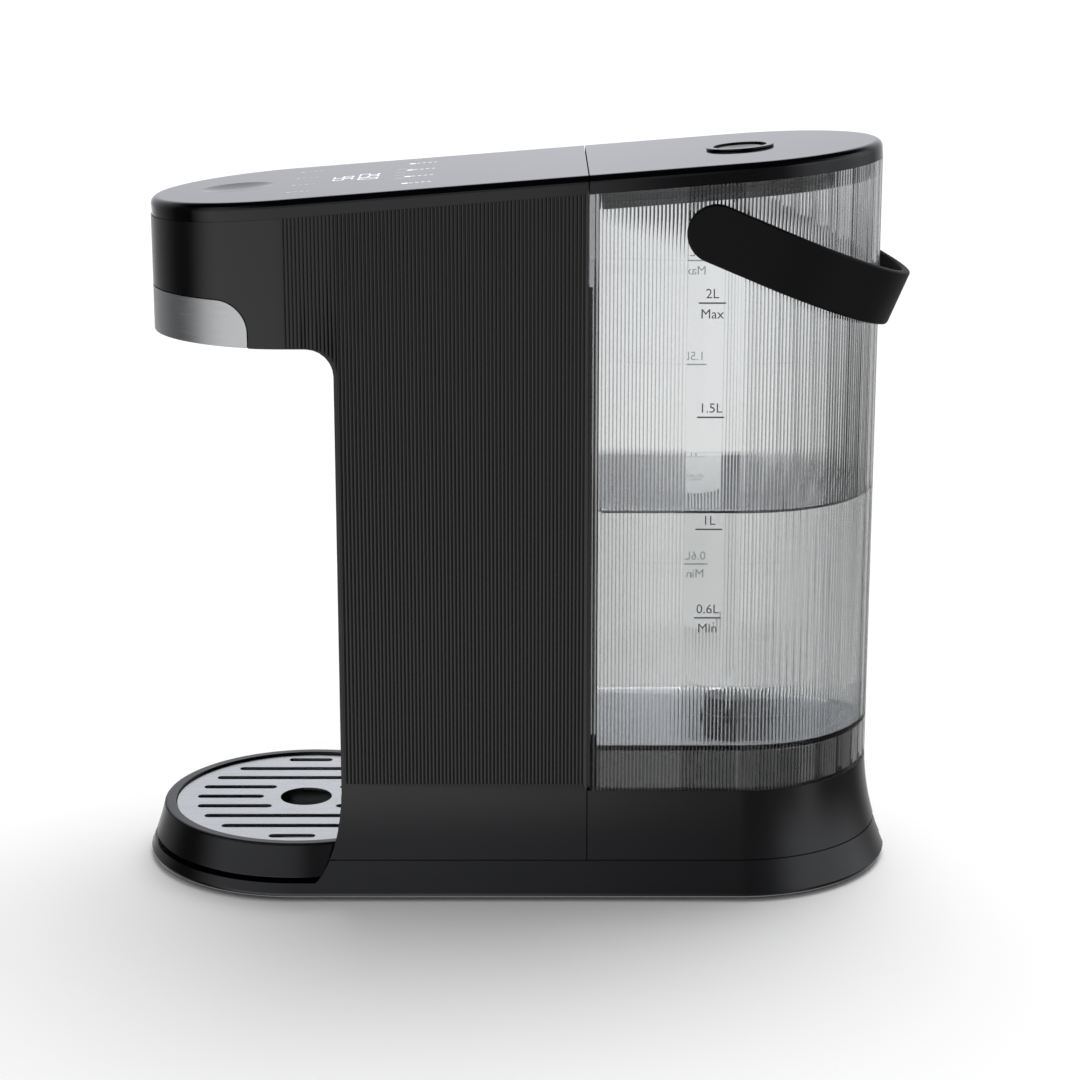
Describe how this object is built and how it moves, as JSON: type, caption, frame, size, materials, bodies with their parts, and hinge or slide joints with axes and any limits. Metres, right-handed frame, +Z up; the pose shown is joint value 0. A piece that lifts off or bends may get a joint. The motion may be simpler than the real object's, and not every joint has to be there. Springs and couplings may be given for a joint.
{
  "type": "instant hot water dispenser",
  "caption": "Slim countertop hot water dispenser: ribbed black column with overhanging spout head, round drip tray in a scooped cup bay, and a clear lift-off tank with bail handle.",
  "frame": {"origin": "middle of the whole part's box, on the surface that the feet stand on", "axes": "+Z up, -Y towards the spout and drip tray, +Y towards the tank, X across the width"},
  "size_m": [0.1332, 0.3192, 0.3051],
  "materials": {
    "black_abs": "satin moulded black",
    "gloss_black": "polished black",
    "dark_plastic": "moulded dark grey",
    "clear_tank": "clear moulded copolyester",
    "brushed_silver": "brushed",
    "grille_steel": "brushed stainless",
    "steel": "bright zinc or stainless",
    "brass": "turned",
    "rubber": "moulded black",
    "silicone": "translucent silicone",
    "white_plastic": "natural moulded",
    "circuit_board": "solder mask"
  },
  "bodies": {
    "machine": {"base_pan": "black_abs", "rubber_feet": "rubber", "base_screws": "steel", "cord_gland": "rubber", "terminal_block": "white_plastic", "front_housing": "black_abs", "rear_panel": "black_abs", "tank_dock": "black_abs", "dock_socket": "white_plastic", "dock_seal": "silicone", "top_panel": "gloss_black", "touch_pad": "rubber", "display_module": "gloss_black", "control_board": "circuit_board", "board_screws": "steel", "spout_trim": "brushed_silver", "spout_nozzle": "silicone", "outlet_chamber": "white_plastic", "pump_mount": "rubber", "pump_body": "white_plastic", "pump_cover": "white_plastic", "pump_motor": "steel", "heater_tube": "steel", "heater_cap_lower": "white_plastic", "heater_cap_upper": "white_plastic", "heater_clips": "steel", "thermal_cutouts": "steel", "temperature_sensor": "brass", "power_board": "circuit_board", "inlet_hose": "silicone", "feed_hose": "silicone", "outlet_hose": "silicone", "hose_clamps": "steel", "wiring_loom": "rubber", "mains_lead": "rubber"},
    "pump_rotor": {"pump_impeller": "white_plastic"},
    "tank": {"water_tank": "clear_tank", "handle_pins": "steel", "valve_body": "dark_plastic", "inlet_strainer": "dark_plastic", "valve_spring": "steel"},
    "valve": {"valve_poppet": "dark_plastic", "valve_seal": "rubber"},
    "lid": {"tank_lid": "gloss_black", "lid_gasket": "rubber", "lid_ring": "gloss_black", "lid_button_spring": "steel"},
    "button": {"lid_button": "gloss_black"},
    "handle": {"tank_handle": "black_abs"},
    "tray": {"drip_tray": "black_abs"},
    "grille": {"drip_grille": "grille_steel"}
  },
  "joints": [
    {"name": "tank_lift", "type": "slide", "parent": "machine", "child": "tank", "axis": [0, 0, 1], "range_m": [0, 0.27]},
    {"name": "valve_close", "type": "slide", "parent": "tank", "child": "valve", "axis": [0, 0, -1], "range_m": [0, 0.003], "deforming": ["valve_spring"]},
    {"name": "lid_lift", "type": "slide", "parent": "tank", "child": "lid", "axis": [0, 0, 1], "range_m": [0, 0.01]},
    {"name": "lid_button_press", "type": "slide", "parent": "lid", "child": "button", "axis": [0, 0.0785, -0.9969], "range_m": [0, 0.0025], "stiffness_N_per_m": 600, "springref_m": -0.002, "deforming": ["lid_button_spring"]},
    {"name": "handle_swing", "type": "hinge", "parent": "tank", "child": "handle", "pos_m": [0, 0.07641, 0.274], "axis": [1, 0, 0], "range_deg": [0, 113]},
    {"name": "tray_slide", "type": "slide", "parent": "machine", "child": "tray", "axis": [0, -1, 0], "range_m": [0, 0.14]},
    {"name": "grille_lift", "type": "slide", "parent": "tray", "child": "grille", "axis": [0, 0, 1], "range_m": [0, 0.03]},
    {"name": "pump_spin", "type": "hinge", "parent": "machine", "child": "pump_rotor", "pos_m": [0.024, -0.00159, 0.03], "axis": [0, 0, 1], "continuous": true}
  ],
  "couplings": [
    {"joint": "valve_close", "follows": "tank_lift", "ratio": 0.01074}
  ]
}
